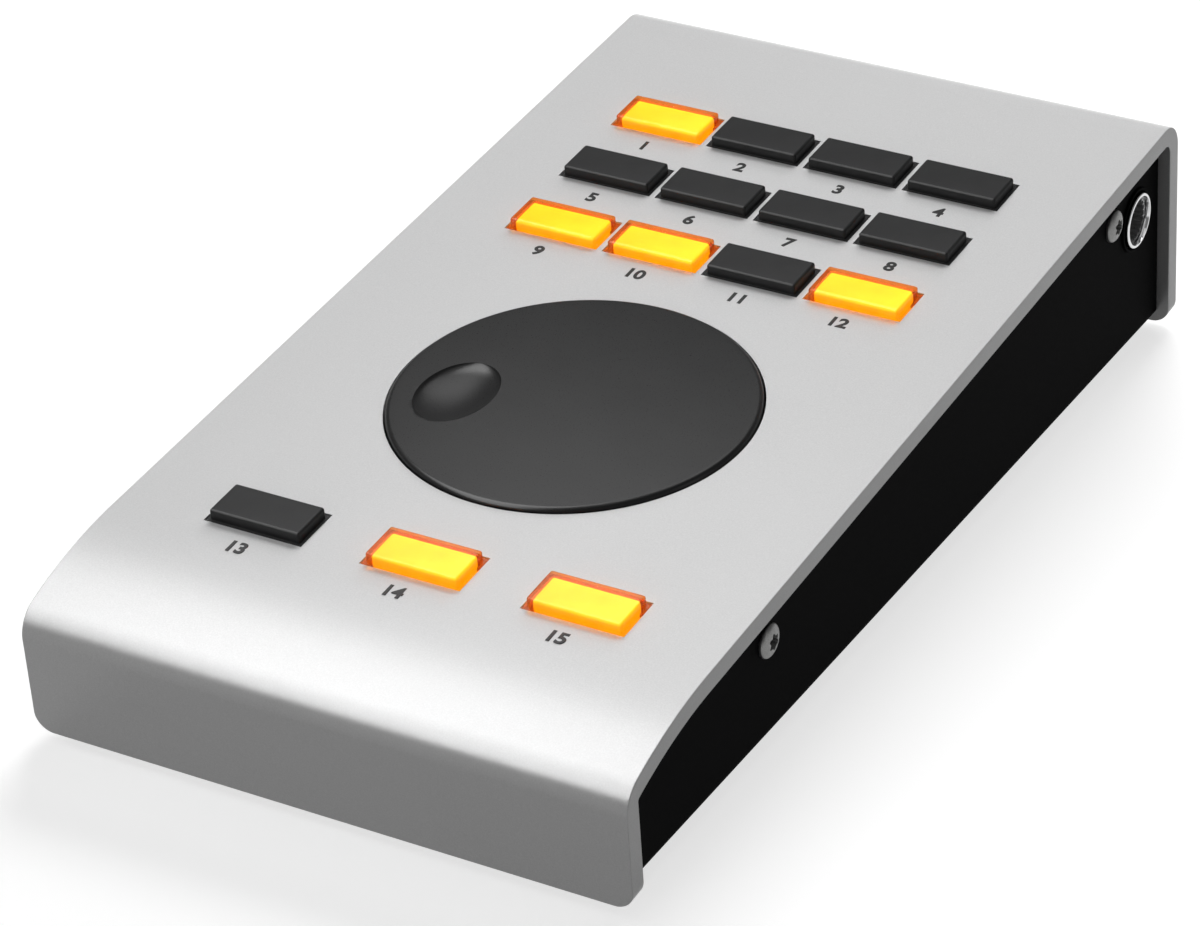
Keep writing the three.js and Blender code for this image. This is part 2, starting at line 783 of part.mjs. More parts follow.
// The keys that are lit, counted from the rear left
const litKeys = [1, 9, 10, 12, 14, 15];
const keyCap = makeKeyCap();
const keyDiffuser = makeKeyDiffuser();
keyPlaces().forEach(({ x, y }, i) => {
  const number = i + 1;
  const lit = litKeys.includes(number);
  addPiece(deck, `key_cap_${number}`, keyCap, lit ? amberPlastic : smokedPlastic, x, y);
  addPiece(deck, `key_diffuser_${number}`, keyDiffuser, lit ? yellowPlastic : greyPlastic, x, y);
});

const gridBank = makeSwitchBank([-1.5, -0.5, 0.5, 1.5]);
for (const row of [1, 2, 3]) {
  addPiece(deck, `switch_bank_row_${row}`, gridBank, blackPlastic, 0, gridRowPlace + (3 - row) * rowPitch);
}
addPiece(deck, 'switch_bank_front', makeSwitchBank([-1.5, 0, 1.5]), blackPlastic, 0, frontRowPlace);

addPiece(deck, 'dial_knob', makeDialKnob(), dialBlack, 0, dialPlace);
addPiece(deck, 'dial_shaft', makeDialShaft(), screwSteel, 0, dialPlace);
addPiece(deck, 'encoder_body', makeEncoder(), blackPlastic, 0, dialPlace);

addPiece(deck, 'jack_sleeve', makeJackSleeve(), chrome, 0, jackPlace, -jackDrop);
addPiece(deck, 'jack_washer', makeJackWasher(), blackPlastic, 0, jackPlace, -jackDrop);
addPiece(deck, 'jack_body', makeJackBody(), blackPlastic, 0, jackPlace, -jackDrop);
addPiece(deck, 'usb_socket', makeUsbShell(), screwSteel);
addPiece(deck, 'usb_insulator', makeUsbInsulator(), blackPlastic);

// Stand the case on the table with the origin under its middle
const extent = new THREE.Box3().setFromObject(remote, true);
remote.position.y = -(extent.min.y + extent.max.y) / 2;
remote.position.z = -extent.min.z;

export default remote;
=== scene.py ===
# %% [markdown]
# # A desktop remote control with a dial and fifteen keys
# The real object is a small wedge that lies beside a keyboard. One thick aluminium sheet is bent into
# its front wall, its sloping top and its rear wall. A black folded tray closes the sides and the floor.
# The measured solids already exist, so this lesson only dresses them. It could paint those solids as
# they are, but they have few faces and sharp corners. The visible pieces are therefore made again here
# with fine curves and small rounded edges, in exactly the same places.

import json
import math

import bmesh
import bpy
from mathutils import Matrix, Vector

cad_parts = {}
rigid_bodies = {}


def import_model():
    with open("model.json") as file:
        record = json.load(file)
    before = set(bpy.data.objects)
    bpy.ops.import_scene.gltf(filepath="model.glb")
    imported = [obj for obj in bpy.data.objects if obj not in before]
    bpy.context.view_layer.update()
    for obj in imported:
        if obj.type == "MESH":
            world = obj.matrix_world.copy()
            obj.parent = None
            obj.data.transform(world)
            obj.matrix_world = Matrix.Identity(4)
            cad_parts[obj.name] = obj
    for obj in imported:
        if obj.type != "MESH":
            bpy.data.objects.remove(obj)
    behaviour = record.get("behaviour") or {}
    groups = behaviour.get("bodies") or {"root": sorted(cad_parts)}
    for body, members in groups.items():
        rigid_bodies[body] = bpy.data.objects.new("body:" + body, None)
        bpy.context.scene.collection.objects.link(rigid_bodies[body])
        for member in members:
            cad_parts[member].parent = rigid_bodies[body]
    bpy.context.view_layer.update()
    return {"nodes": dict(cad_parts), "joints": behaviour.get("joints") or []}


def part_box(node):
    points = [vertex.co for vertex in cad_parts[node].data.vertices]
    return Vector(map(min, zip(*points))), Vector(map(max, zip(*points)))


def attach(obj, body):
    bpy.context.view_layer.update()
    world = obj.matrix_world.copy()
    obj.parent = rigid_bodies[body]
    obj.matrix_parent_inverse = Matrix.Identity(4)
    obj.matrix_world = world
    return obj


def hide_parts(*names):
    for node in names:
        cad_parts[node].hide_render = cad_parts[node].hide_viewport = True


for leftover in list(bpy.data.objects):
    bpy.data.objects.remove(leftover)
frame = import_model()

# %% [markdown]
# ## The plate's own frame
# Nearly every piece is set square to the sloping plate, not to the table. Turning each piece by hand
# would be slow and easy to get wrong. One matrix does it for all of them instead: it takes millimetres
# measured across the plate, along it from the front wall, and up from its surface, and gives metres in
# the room. It is hung on the dial's own joint, so it can't drift away from the solids.

# %% A matrix from plate millimetres to room metres
MM = 0.001
slope = math.radians(4.5)
dial_from_front = 73.2
dial_joint = next(joint for joint in frame["joints"] if joint["name"] == "dial_turn")
plate_turn = Matrix.Translation(dial_joint["pos_m"]) @ Matrix.Rotation(slope, 4, "X")


def on_plate(across=0.0, along=0.0, up=0.0):
    """The frame of a piece that stands on the plate at that place, for meshes in metres."""
    return plate_turn @ Matrix.Translation((across * MM, (along - dial_from_front) * MM, up * MM))


shrink = Matrix.Scale(MM, 4)
plate = on_plate() @ shrink
print("front edge of the plate in metres:", [round(value, 4) for value in plate @ Vector((0, 0, 0))])

# %% [markdown]
# ## The camera
# The picture looks down on the near right corner through a long lens, so the long edges stay almost
# parallel. The camera could be pushed around by eye until it fits. Here it comes from measured corners
# of the case: three directions of the camera and its place, worked out once and written down.

# %% Place the camera
camera_data = bpy.data.cameras.new("viewpoint")
camera_data.sensor_width = 36
camera_data.sensor_fit = "HORIZONTAL"
camera_data.lens = 136.62
camera_data.clip_start = 0.01
camera_data.clip_end = 50
camera = bpy.data.objects.new("viewpoint", camera_data)
bpy.context.scene.collection.objects.link(camera)
camera_right = Vector((0.87514699, 0.48340466, -0.02092063))
camera_up = Vector((-0.22847086, 0.45095977, 0.86280725))
camera_back = Vector((0.42651941, -0.75030341, 0.50509997))
camera_place = Vector((0.287127, -0.518310, 0.356408))
camera_turn = Matrix((camera_right, camera_up, camera_back)).transposed().to_4x4()
camera.matrix_world = Matrix.Translation(camera_place) @ camera_turn
bpy.context.scene.camera = camera
print("camera distance from the dial:", round((camera_place - plate_turn.translation).length, 3), "m")

# %% [markdown]
# ## Making closed shapes
# The case is folded from flat sheet, so most of its pieces are one outline pulled straight along one
# direction. Knobs, screws and sockets are round, so each of them is one profile spun about an axis.
# Both could come from ready-made primitives with modifiers. Short functions that write the faces
# themselves are easier to control, because every point is then a measured one.

# %% Outlines, bars and turned shapes


def arc(across, up, radius, start, end, steps):
    """Points on a circle, with angles in degrees."""
    angles = [math.radians(start + (end - start) * step / steps) for step in range(steps + 1)]
    return [(across + radius * math.cos(angle), up + radius * math.sin(angle)) for angle in angles]


def circle(radius, steps, across=0.0, up=0.0):
    """A full circle of that many points."""
    return arc(across, up, radius, 0, 360, steps)[:-1]


def box_outline(a_low, a_high, b_low, b_high):
    """A rectangle between its four limits."""
    return [(a_low, b_low), (a_high, b_low), (a_high, b_high), (a_low, b_high)]


def centred_box(width, depth, across=0.0, along=0.0):
    """A rectangle about a point."""
    half_width, half_depth = width / 2, depth / 2
    return box_outline(across - half_width, across + half_width, along - half_depth, along + half_depth)


def polar_outline(reach_at, steps):
    """A closed line round the origin, as far out as a function says for each angle."""
    angles = [2 * math.pi * step / steps for step in range(steps)]
    return [(reach_at(angle) * math.cos(angle), reach_at(angle) * math.sin(angle)) for angle in angles]


def bar(outline, axis, low, high):
    """An outline pulled along one axis, closed at both ends."""
    place = {
        "x": lambda a, b, t: (t, a, b),
        "y": lambda a, b, t: (a, t, b),
        "z": lambda a, b, t: (a, b, t),
    }[axis]
    shape = bmesh.new()
    near, far = ([shape.verts.new(place(a, b, t)) for a, b in outline] for t in (low, high))
    shape.faces.new(near)
    shape.faces.new(far)
    for i in range(len(outline)):
        j = (i + 1) % len(outline)
        shape.faces.new((near[i], near[j], far[j], far[i]))
    bmesh.ops.recalc_face_normals(shape, faces=shape.faces)
    return shape


def spun(profile, steps):
    """A closed profile of (radius, height) points turned about the Z axis."""
    shape = bmesh.new()
    rings = []
    for radius, height in profile:
        points = [(0, 0)] if radius == 0 else circle(radius, steps)
        rings.append([shape.verts.new((a, b, height)) for a, b in points])
    if len(rings[0]) > 1:
        rings.append(rings[0])
    for lower, upper in zip(rings, rings[1:]):
        for i in range(steps):
            j = (i + 1) % steps
            below = [lower[k % len(lower)] for k in (i, j)]
            above = [upper[k % len(upper)] for k in (j, i)]
            corners = list(dict.fromkeys(below + above))
            if len(corners) > 2:
                shape.faces.new(corners)
    bmesh.ops.recalc_face_normals(shape, faces=shape.faces)
    return shape


def as_object(name, shape):
    """Turn a shape into an object of the scene."""
    mesh = bpy.data.meshes.new(name)
    shape.to_mesh(mesh)
    shape.free()
    made = bpy.data.objects.new(name, mesh)
    bpy.context.scene.collection.objects.link(made)
    return made


print("a test circle has", len(circle(1, 8)), "points")

# %% [markdown]
# ## Cutting, rounding and keeping the result
# Windows, holes and sockets are cut with Blender's Boolean modifier, and every edge gets a narrow Bevel,
# because a perfectly sharp edge catches no light. The modifiers could stay live, but then each later
# step would depend on all of them. Here the result is written into the mesh after each step. A cut can
# leave two points almost on top of each other, and the thin face between them shades as a streak, so
# such points are joined at once.

# %% Modifiers that are applied at once


def settle(piece):
    """Write what the modifiers make into the mesh."""
    depsgraph = bpy.context.evaluated_depsgraph_get()
    result = bpy.data.meshes.new_from_object(piece.evaluated_get(depsgraph))
    piece.modifiers.clear()
    worn = piece.data
    piece.data = result
    bpy.data.meshes.remove(worn)


def mend(piece, near=0.002):
    """Join points that a cut left closer together than that many millimetres."""
    shape = bmesh.new()
    shape.from_mesh(piece.data)
    bmesh.ops.remove_doubles(shape, verts=shape.verts, dist=near)
    bmesh.ops.dissolve_degenerate(shape, edges=shape.edges, dist=near)
    shape.to_mesh(piece.data)
    shape.free()


def bare_mesh(piece):
    """The mesh of a piece, whose object goes."""
    mesh = piece.data
    bpy.data.objects.remove(piece)
    return mesh


def carve(piece, shapes, operation="DIFFERENCE"):
    """Cut shapes out of a piece, or keep only what lies inside them."""
    together = bmesh.new()
    for shape in shapes:
        part = bpy.data.meshes.new("cutter_part")
        shape.to_mesh(part)
        shape.free()
        together.from_mesh(part)
        bpy.data.meshes.remove(part)
    cutter = as_object("cutter", together)
    change = piece.modifiers.new("carve", "BOOLEAN")
    change.operation = operation
    change.solver = "EXACT"
    change.object = cutter
    settle(piece)
    bpy.data.meshes.remove(bare_mesh(cutter))
    mend(piece)


def round_edges(piece, width, segments=3, sharper_than=40):
    """Round the edges whose faces meet at more than that many degrees."""
    change = piece.modifiers.new("round", "BEVEL")
    change.width = width
    change.segments = segments
    change.limit_method = "ANGLE"
    change.angle_limit = math.radians(sharper_than)
    settle(piece)
    mend(piece)


def smooth(piece, crease=35):
    """Smooth shading that keeps flat faces flat and creases sharp."""
    piece.data.shade_smooth()
    piece.data.set_sharp_from_angle(angle=math.radians(crease))
    change = piece.modifiers.new("flat_faces", "WEIGHTED_NORMAL")
    change.keep_sharp = True
    settle(piece)


def dress(piece, finish, slot, body, *stands_for):
    """Give a piece its finish, hang it on its body and hide the solids that it stands for."""
    piece.data.materials.clear()
    piece.data.materials.append(finish)
    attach(piece, body)
    if stands_for:
        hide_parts(*stands_for)
    print(piece.name, "faces:", len(piece.data.polygons))


print("helpers ready")

# %% [markdown]
# ## Finishes made of nodes
# No photograph is pasted on anything. Each finish is a small network: noise measured in millimetres
# makes the grain, and the grain drives colour, roughness and tiny bumps. The same few steps come back
# in every finish, so they are functions here. Values that don't vary are typed on the shader itself.

# %% Small building blocks for finishes
# The mix node has sockets of the same name for numbers and colours, so colours are picked by place.
FIRST_COLOUR, SECOND_COLOUR, MIXED_COLOUR = 6, 7, 2


class Finish:
    """A material with its main shader, and the steps that set it up."""

    def __init__(self, name, **settings):
        self.material = bpy.data.materials.new(name)
        self.material.use_nodes = True
        self.nodes = self.material.node_tree.nodes
        self.links = self.material.node_tree.links
        self.shader = self.nodes["Principled BSDF"]
        for socket, value in settings.items():
            self.shader.inputs[socket.replace("_", " ")].default_value = value

    def grain(self, spot, detail=2.0, stretch=(1, 1, 1)):
        """Noise with spots that many millimetres wide."""
        place = self.nodes.new("ShaderNodeTexCoord")
        scale = self.nodes.new("ShaderNodeMapping")
        scale.inputs["Scale"].default_value = stretch
        noise = self.nodes.new("ShaderNodeTexNoise")
        noise.inputs["Scale"].default_value = 1 / (spot * MM)
        noise.inputs["Detail"].default_value = detail
        self.links.new(place.outputs["Object"], scale.inputs["Vector"])
        self.links.new(scale.outputs["Vector"], noise.inputs["Vector"])
        return noise.outputs["Fac"]

    def spread(self, source, low, high, start=0.3, end=0.7):
        """Stretch the middle of a noise over a range of values."""
        node = self.nodes.new("ShaderNodeMapRange")
        node.inputs["From Min"].default_value = start
        node.inputs["From Max"].default_value = end
        node.inputs["To Min"].default_value = low
        node.inputs["To Max"].default_value = high
        self.links.new(source, node.inputs["Value"])
        return node.outputs["Result"]

    def blend(self, amount, first, second):
        """A colour between two others; either may be a link or a plain colour."""
        node = self.nodes.new("ShaderNodeMix")
        node.data_type = "RGBA"
        self.links.new(amount, node.inputs["Factor"])
        for place, colour in ((FIRST_COLOUR, first), (SECOND_COLOUR, second)):
            if isinstance(colour, tuple):
                node.inputs[place].default_value = (*colour, 1)
            else:
                self.links.new(colour, node.inputs[place])
        return node.outputs[MIXED_COLOUR]

    def colour(self, source):
        self.links.new(source, self.shader.inputs["Base Color"])

    def tones(self, source, dark, light):
        """Let a noise move the colour between two tones."""
        self.colour(self.blend(self.spread(source, 0, 1), dark, light))

    def roughness(self, source):
        self.links.new(source, self.shader.inputs["Roughness"])

    def bumps(self, source, height, strength=1.0):
        """Raise the surface by at most that many millimetres."""
        node = self.nodes.new("ShaderNodeBump")
        node.inputs["Strength"].default_value = strength
        node.inputs["Distance"].default_value = height * MM
        self.links.new(source, node.inputs["Height"])
        self.links.new(node.outputs["Normal"], self.shader.inputs["Normal"])


print("finish blocks ready")

# %% [markdown]
# ## Blasted aluminium
# The cover was blasted with fine glass beads and then anodised, so it is a soft silver grey with a
# speckle finer than half a millimetre. A brushed texture would be wrong, because the real surface has
# no direction. Three grains are layered: fine bead marks, a coarser mottle, and slow drifts in tone.

# %% The aluminium finish
silver = Finish("blasted_aluminium", Metallic=0.12, Specular_IOR_Level=0.2)
bead_marks = silver.grain(0.22, detail=3)
mottle = silver.grain(1.1, detail=2)
drift = silver.grain(24, detail=1)
fine_tone = silver.blend(silver.spread(bead_marks, 0, 1), (0.585, 0.585, 0.587), (0.665, 0.665, 0.667))
mottled_tone = silver.blend(silver.spread(mottle, 0, 0.35), fine_tone, (0.61, 0.61, 0.612))
silver.colour(silver.blend(silver.spread(drift, 0, 0.25), mottled_tone, (0.65, 0.65, 0.652)))
silver.roughness(silver.spread(mottle, 0.3, 0.36))
silver.bumps(bead_marks, 0.009, 0.7)
print("finish:", silver.material.name)

# %% [markdown]
# ## The bent cover
# On the real cover the front fold is tight, then the plate rises in one long easy curve and runs flat
# to a rounder rear bend. Bending a flat mesh with a modifier would be guesswork. The side outline is
# drawn instead from its three arcs, and pulled across the full width of the case.

# %% The line of the bent sheet
case_half_width = 48.0
case_length = 183.7
sheet = 3.2
front_wall = 23.2
rear_wall = 37.2
curve_radius = 68.0
curve_end = 23.8
fold_outside = 4.8
fold_inside = 0.5
rear_bend = 5.2
bend_steps, curve_steps = 24, 48


def sheet_line(depth, fold):
    """The bent sheet's line that many millimetres under its outer face, from front to rear."""
    centre = depth + fold
    reach = curve_radius - depth - fold
    run = curve_end - centre
    rise = math.sqrt(reach**2 - run**2)
    meet = math.degrees(math.atan2(rise, -run))
    line = arc(centre, rise - curve_radius, fold, 180, meet, bend_steps)
    line += arc(curve_end, -curve_radius, curve_radius - depth, meet, 90, curve_steps)[1:]
    line += arc(case_length - rear_bend, -rear_bend, rear_bend - depth, 90, 0, bend_steps)
    return line


cover_outline = [(0, -front_wall)] + sheet_line(0, fold_outside) + [(case_length, -rear_wall)]
cover_outline += [(case_length - sheet, -rear_wall)] + sheet_line(sheet, fold_inside)[::-1]
cover_outline += [(sheet, -front_wall)]
print("outline points:", len(cover_outline))

# %% [markdown]
# The cover has fifteen windows for keys, one round hole for the dial and one opening in the rear wall.
# The outer edges were broken by hand and look softer than the windows, which were cut by a machine.
# So the long edges are rounded first, and the windows get a narrower rounding after they are cut.

# %% Where the keys are
column_pitch = 17.13
rear_rows = (150.31, 133.18, 116.05)
front_row = 30.4
four_columns, three_columns = (-1.5, -0.5, 0.5, 1.5), (-1.5, 0, 1.5)
key_places = [(column * column_pitch, row) for row in rear_rows for column in four_columns]
key_places += [(column * column_pitch, front_row) for column in three_columns]
print("keys:", len(key_places))

# %% Make the cover
cover = as_object("bent_cover", bar(cover_outline, "x", -case_half_width, case_half_width))
corner_radius = 3.0
outer_edge = 0.16
overrun, short_overrun = 2.0, 1.0
walls = (
    (-front_wall, -overrun, sheet + overrun),
    (-rear_wall, case_length - sheet - overrun, case_length + overrun),
)
corner_cuts = []
for side in (1, -1):
    for low, first, last in walls:
        rounding = arc(-corner_radius, corner_radius, corner_radius, -90, 0, 16)
        rounding += [(overrun, corner_radius), (overrun, -overrun), (-corner_radius, -overrun)]
        outline = [(side * (case_half_width + a), low + b) for a, b in rounding]
        corner_cuts.append(bar(outline, "y", first, last))
carve(cover, corner_cuts)
round_edges(cover, outer_edge, segments=2, sharper_than=50)
print("cover before its windows:", len(cover.data.polygons), "faces")

# %% Cut the windows, the dial hole and the rear opening
window_width, window_depth = 16.2, 8.5
dial_hole = 27.9
opening_half_width, opening_bottom, opening_top = 6.3, -28.0, -16.4
cut_depth = 6.0
cut_edge = 0.12
cuts = []
for across, along in key_places:
    window = centred_box(window_width, window_depth, across, along)
    cuts.append(bar(window, "z", -sheet - overrun, overrun))
cuts.append(bar(circle(dial_hole, 192, 0, dial_from_front), "z", -cut_depth, overrun))
opening = box_outline(-opening_half_width, opening_half_width, opening_bottom, opening_top)
cuts.append(bar(opening, "y", case_length - cut_depth, case_length + overrun))
carve(cover, cuts)
round_edges(cover, cut_edge, segments=2, sharper_than=60)
cover.data.transform(plate)
smooth(cover)
dress(cover, silver.material, "cover_aluminium", "case", "top_cover")

# %% [markdown]
# ## The black tray
# The tray is thinner steel, folded up at both sides and coated with dull black powder. Its sides sit
# two millimetres in from the cover's edges and follow the cover's curve. It could be modelled panel by
# panel. It is simpler to fold a long channel first, and keep only what lies under the cover's line.

# %% The powder coat
powder = Finish("black_powder_coat", Metallic=0.0, Specular_IOR_Level=0.015)
powder_grain = powder.grain(0.35, detail=2)
powder.tones(powder_grain, (0.0012, 0.0012, 0.0013), (0.0022, 0.0022, 0.0024))
powder.roughness(powder.spread(powder_grain, 0.66, 0.74))
powder.bumps(powder_grain, 0.015, 0.5)
print("finish:", powder.material.name)

# %% Fold the channel and trim it under the cover
tray_half = 46.1
tray_sheet = 1.5
tray_gap = 0.3
tray_bend = 1.8
tray_floor = 2.6
tray_sides = 90.0
fold_steps = 12
end_spare = 5.0


def in_room(along, up):
    """A point of the plate's frame as millimetres in the room, along Y and Z."""
    point = plate @ Vector((0, along, up))
    return (point.y / MM, point.z / MM)


def tray_end(along):
    """Where a line square to the plate meets the tray's underside."""
    top_y, top_z = in_room(along, 0)
    return top_y + (top_z - tray_floor) * math.tan(slope)


def half_channel(side, depth):
    """One half of the channel's line, that many millimetres inside its outer face."""
    bend = arc(tray_half - tray_bend, tray_floor + tray_bend, tray_bend - depth, -90, 0, fold_steps)
    return [(side * a, b) for a, b in bend + [(tray_half - depth, tray_sides)]]


channel = half_channel(-1, 0)[::-1] + half_channel(1, 0)
channel += half_channel(1, tray_sheet)[::-1] + half_channel(-1, tray_sheet)
front_end = tray_end(sheet + tray_gap)
rear_end = tray_end(case_length - sheet - tray_gap)
under_cover = [in_room(a, b) for a, b in sheet_line(sheet + tray_gap, fold_inside)]
tray = as_object("folded_tray", bar(channel, "y", front_end - end_spare, rear_end + end_spare))
trimmed = [(front_end, tray_floor)] + under_cover + [(rear_end, tray_floor)]
half_trimmer = tray_half + short_overrun
carve(tray, [bar(trimmed, "x", -half_trimmer, half_trimmer)], "INTERSECT")
print("tray length in mm:", round(rear_end - front_end, 1))

# %% Drill the tray for its screws and the jack
jack_along, jack_up = 170.8, -12.4
screw_places = {"front": 43.7, "rear": 162.1}
screw_up = -8.65
screw_hole, jack_hole = 1.8, 4.8
jack_hole_depth = 4.0


def drill(along, up, radius, first, last):
    """A round cutter that runs across the case."""
    return bar(circle(radius, 48, *in_room(along, up)), "x", first, last)


outside = tray_half + overrun
holes = [drill(along, screw_up, screw_hole, -outside, outside) for along in screw_places.values()]
holes.append(drill(jack_along, jack_up, jack_hole, tray_half - jack_hole_depth, outside))
carve(tray, holes)
round_edges(tray, cut_edge, segments=2, sharper_than=55)
tray.data.transform(shrink)
smooth(tray)
dress(tray, powder.material, "tray_black", "case", "base_tray")

# %% [markdown]
# ## The dial
# The dial is a black disc more than half as wide as the case. It stands only a millimetre above the
# plate, rises very slightly towards its middle and has one oval dimple for a fingertip. Its profile,
# with the bore for the shaft underneath, is spun in one go. The dimple could be pushed in with a
# lattice. Cutting the disc with a stretched ball gives the same clean scoop as a mould does, and a
# bevel then softens the scoop's rim.

# %% The dial's satin black
satin = Finish("satin_black", Metallic=0.0, Specular_IOR_Level=0.28)
satin_grain = satin.grain(0.16, detail=2)
satin.tones(satin.grain(9, detail=2), (0.006, 0.006, 0.0062), (0.009, 0.009, 0.0092))
satin.roughness(satin.spread(satin_grain, 0.27, 0.33))
satin.bumps(satin_grain, 0.003, 0.5)
print("finish:", satin.material.name)

# %% Turn the disc and scoop its dimple
dial_radius = 27.6
dial_top = 1.0
rim_rounding = 0.8
rim_drop = 0.3
rim_bottom = -3.0
bore_radius, bore_top = 3.15, -0.55
hub_radius, hub_bottom = 6.0, -4.2
recess_radius, recess_top = 24.6, -2.2
dome_radius, dome_steps = dial_radius - rim_rounding, 24
dial_profile = [(0, bore_top), (bore_radius, bore_top), (bore_radius, hub_bottom), (hub_radius, hub_bottom)]
dial_profile += [(hub_radius, recess_top), (recess_radius, recess_top)]
dial_profile += [(recess_radius, rim_bottom), (dial_radius, rim_bottom)]
dial_profile += arc(dome_radius, dial_top - rim_drop - rim_rounding, rim_rounding, 0, 90, 12)
for step in range(dome_steps - 1, -1, -1):
    share = step / dome_steps
    dial_profile.append((dome_radius * share, dial_top - rim_drop * share**2))
dial = as_object("dial_disc", spun(dial_profile, 256))

dimple_reach, dimple_angle = 17.5, math.radians(197.5)
dimple_half_width, dimple_half_length, dimple_depth = 5.95, 8.1, 1.6
dimple_rim = 0.35
dimple_x, dimple_y = dimple_reach * math.cos(dimple_angle), dimple_reach * math.sin(dimple_angle)
dimple_size = Matrix.Diagonal((dimple_half_width, dimple_half_length, dimple_depth, 1))
scoop = bmesh.new()
bmesh.ops.create_uvsphere(scoop, u_segments=128, v_segments=96, radius=1)
scoop.transform(Matrix.Translation((dimple_x, dimple_y, dial_top)) @ dimple_size)
carve(dial, [scoop])
round_edges(dial, dimple_rim, segments=4, sharper_than=50)
dial.data.transform(on_plate(0, dial_from_front) @ shrink)
smooth(dial, 50)
dress(dial, satin.material, "dial_black", "dial", "dial_knob")

# %% [markdown]
# ## The keys
# Each key is a small hollow cap over a block that carries it down into its switch. Nine keys are dark.
# On the six lit ones the cap is clear amber and the block inside glows yellow, so the cap's own walls
# show as a dark orange band round the light. Painting that band on would look false from any other
# side, so the cap is a real shell with clear walls, and the block inside it is a second piece.

# %% One key cap, hollow from below
cap_width, cap_depth, cap_foot, cap_top = 14.9, 7.2, -3.2, 1.6
flange_width, flange_depth, flange_top = 15.9, 8.2, -0.1
skirt_bottom = -3.6
cavity_width, cavity_depth, cavity_top = 13.9, 6.2, 1.0
cap_rounding, flange_rounding = 0.42, 0.08
cap = as_object("key_cap_form", bar(centred_box(cap_width, cap_depth), "z", cap_foot, cap_top))
round_edges(cap, cap_rounding, segments=4, sharper_than=60)
carve(cap, [bar(centred_box(flange_width, flange_depth), "z", skirt_bottom, flange_top)], "UNION")
carve(cap, [bar(centred_box(cavity_width, cavity_depth), "z", skirt_bottom - overrun, cavity_top)])
round_edges(cap, flange_rounding, segments=2, sharper_than=60)
cap.data.transform(shrink)
smooth(cap)
cap_mesh = bare_mesh(cap)
print("cap faces:", len(cap_mesh.polygons))

# %% One block for inside the cap
block_width, block_depth, block_top = 13.6, 5.9, 0.85
block_rounding = 0.3
plunger_width, plunger_depth, plunger_bottom, plunger_top = 8.0, 4.4, -9.1, -3.1
block = as_object("key_block_form", bar(centred_box(block_width, block_depth), "z", skirt_bottom, block_top))
round_edges(block, block_rounding, segments=3, sharper_than=60)
carve(block, [bar(centred_box(plunger_width, plunger_depth), "z", plunger_bottom, plunger_top)], "UNION")
block.data.transform(shrink)
smooth(block)
block_mesh = bare_mesh(block)
print("block faces:", len(block_mesh.polygons))

# %% Finishes of the keys
smoked = Finish("smoked_key", Metallic=0.0, Specular_IOR_Level=0.19)
smoked_grain = smoked.grain(0.2, detail=2)
smoked.tones(smoked.grain(5), (0.013, 0.013, 0.0133), (0.018, 0.018, 0.0184))
smoked.roughness(smoked.spread(smoked_grain, 0.36, 0.44))
smoked.bumps(smoked_grain, 0.002, 0.4)

coat = {"Coat_Weight": 0.35, "Coat_Roughness": 0.12, "Coat_IOR": 1.5}
amber = Finish("amber_key", Metallic=0.0, IOR=1.06, Transmission_Weight=0.8, **coat)
amber.tones(amber.grain(4, detail=1), (0.82, 0.27, 0.05), (0.88, 0.31, 0.06))
amber.roughness(amber.spread(amber.grain(0.5), 0.03, 0.06))
amber_depth = amber.nodes.new("ShaderNodeVolumeAbsorption")
amber_depth.inputs["Color"].default_value = (1.0, 0.72, 0.1, 1)
amber_depth.inputs["Density"].default_value = 100
amber.links.new(amber_depth.outputs["Volume"], amber.nodes["Material Output"].inputs["Volume"])

glow = Finish("yellow_glow", Metallic=0.0, Roughness=0.5, Emission_Strength=3.9)
glow_drift = glow.spread(glow.grain(7, detail=1), 0, 1)
glow.colour(glow.blend(glow_drift, (0.9, 0.60, 0.06), (0.95, 0.68, 0.08)))
glow_place = glow.nodes.new("ShaderNodeTexCoord")
glow_height = glow.nodes.new("ShaderNodeSeparateXYZ")
glow.links.new(glow_place.outputs["Object"], glow_height.inputs["Vector"])
near_top = glow.spread(glow_height.outputs["Z"], 0, 1, start=0.35 * MM, end=0.8 * MM)
top_tone = glow.blend(glow_drift, (0.38, 1.0, 0.08), (0.40, 1.0, 0.10))
glow.links.new(glow.blend(near_top, (0.32, 0.46, 0.005), top_tone), glow.shader.inputs["Emission Color"])

dark_block = Finish("unlit_block", Metallic=0.0, Roughness=0.6)
dark_block.colour(dark_block.blend(dark_block.grain(1.5), (0.03, 0.03, 0.03), (0.045, 0.045, 0.045)))
print("key finishes ready")

# %% Set out the fifteen keys
lit_keys = (1, 9, 10, 12, 14, 15)
for number, (across, along) in enumerate(key_places, start=1):
    is_lit = number in lit_keys
    looks = (
        ("key_shell", cap_mesh, (smoked, amber), ("key_smoked", "key_amber"), "key_cap"),
        ("key_light", block_mesh, (dark_block, glow), ("diffuser_dark", "diffuser_yellow"), "key_diffuser"),
    )
    for name, mesh, finishes, slots, node in looks:
        piece = bpy.data.objects.new(f"{name}_{number}", mesh.copy())
        bpy.context.scene.collection.objects.link(piece)
        piece.matrix_world = on_plate(across, along)
        dress(piece, finishes[is_lit].material, slots[is_lit], f"key_{number}", f"{node}_{number}")

# %% [markdown]
# ## Numbers in front of the keys
# Every key has its own number printed in dark ink on the plate in front of it. Ink could be a painted
# texture, but a text object turned into a very thin mesh stays crisp at any distance.

